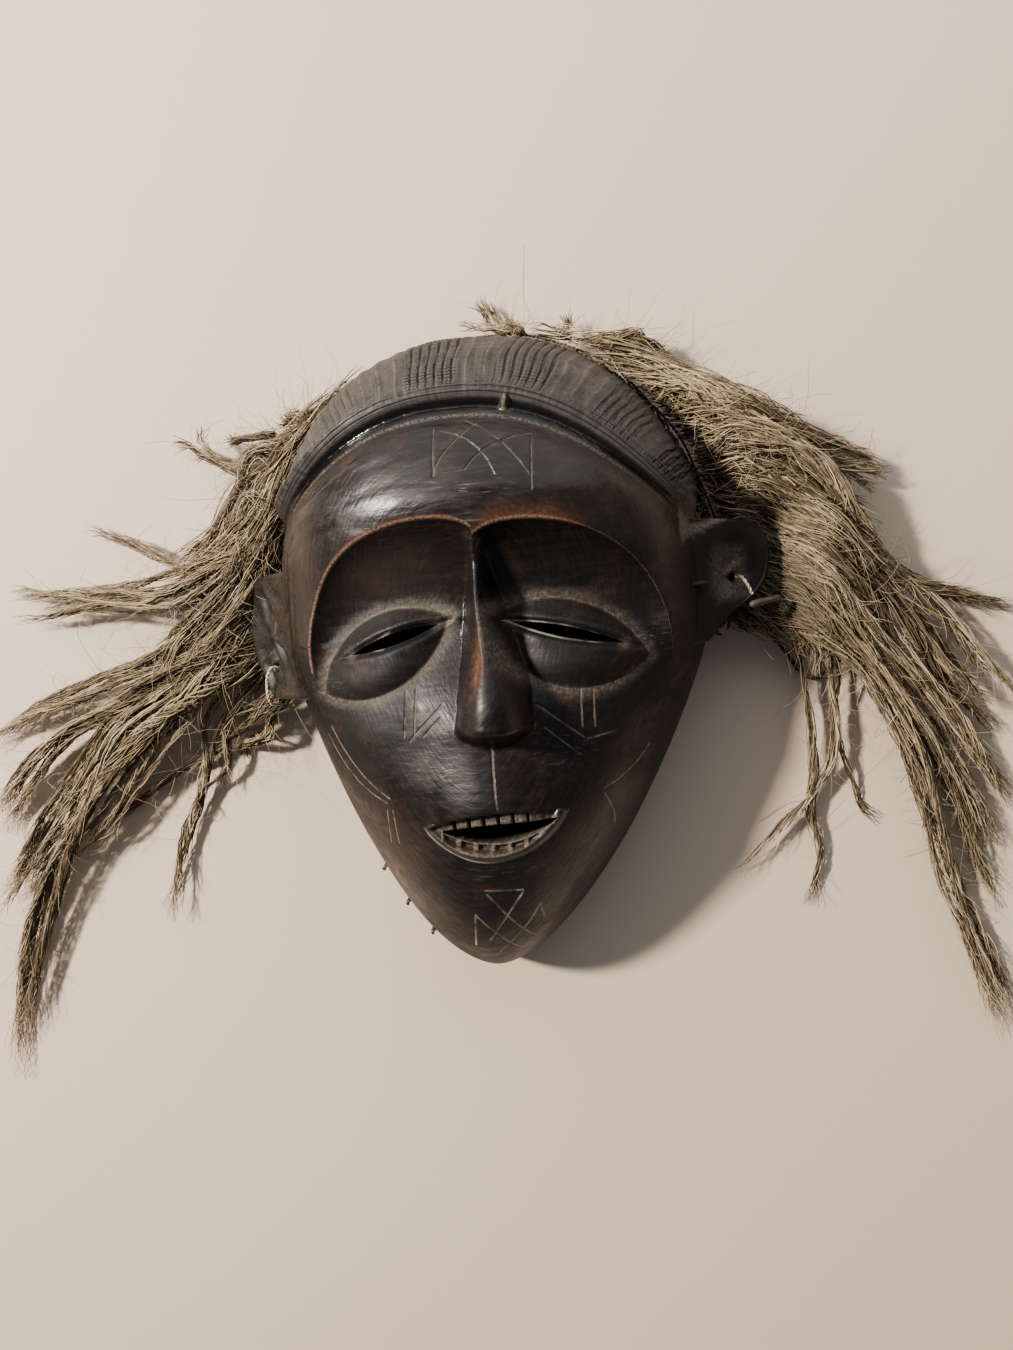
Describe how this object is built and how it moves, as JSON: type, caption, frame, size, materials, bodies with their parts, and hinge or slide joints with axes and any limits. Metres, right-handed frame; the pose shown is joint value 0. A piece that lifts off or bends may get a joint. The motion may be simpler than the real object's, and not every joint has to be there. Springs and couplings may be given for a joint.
{
  "type": "carved wooden face mask",
  "caption": "Carved dark wood face mask with a fluted headband, pierced eyes and mouth, ears with strings and a plant fibre wig on a cord net, lying face up on its back rim",
  "frame": {"origin": "On the plane that the back rim lies on, under the middle of the whole object's box", "axes": "+Z out of the face, which looks up; +Y to the crown; +X to the side that a viewer of the face sees on the right"},
  "size_m": [0.4632, 0.3244, 0.1086],
  "materials": {
    "dark_wood": "hand-carved, dark stained and oiled to a satin gloss, dusty in the creases",
    "dark_cord": "dark twisted plant fibre cord, matt",
    "fibre": "combed khaki plant fibre, slightly lustrous",
    "pale_string": "thin pale twisted string, matt",
    "grey_stick": "weathered grey stick, satin"
  },
  "bodies": {
    "root": {"mask": "dark_wood", "wig_net": "dark_cord", "lock_crown_left": "fibre", "lock_crown_right": "fibre", "lock_right_top": "fibre", "lock_right_upper": "fibre", "lock_right_outer": "fibre", "lock_right_long": "fibre", "lock_right_inner": "fibre", "lock_left_top": "fibre", "lock_left_single": "fibre", "lock_left_upper": "fibre", "lock_left_middle": "fibre", "lock_left_long": "fibre", "lock_left_low": "fibre", "ear_string_right": "pale_string", "ear_string_left": "pale_string", "toggle": "grey_stick", "wig_tie_left": "dark_cord", "rim_thread_1": "dark_cord", "rim_thread_2": "dark_cord", "rim_thread_3": "dark_cord"}
  },
  "joints": []
}
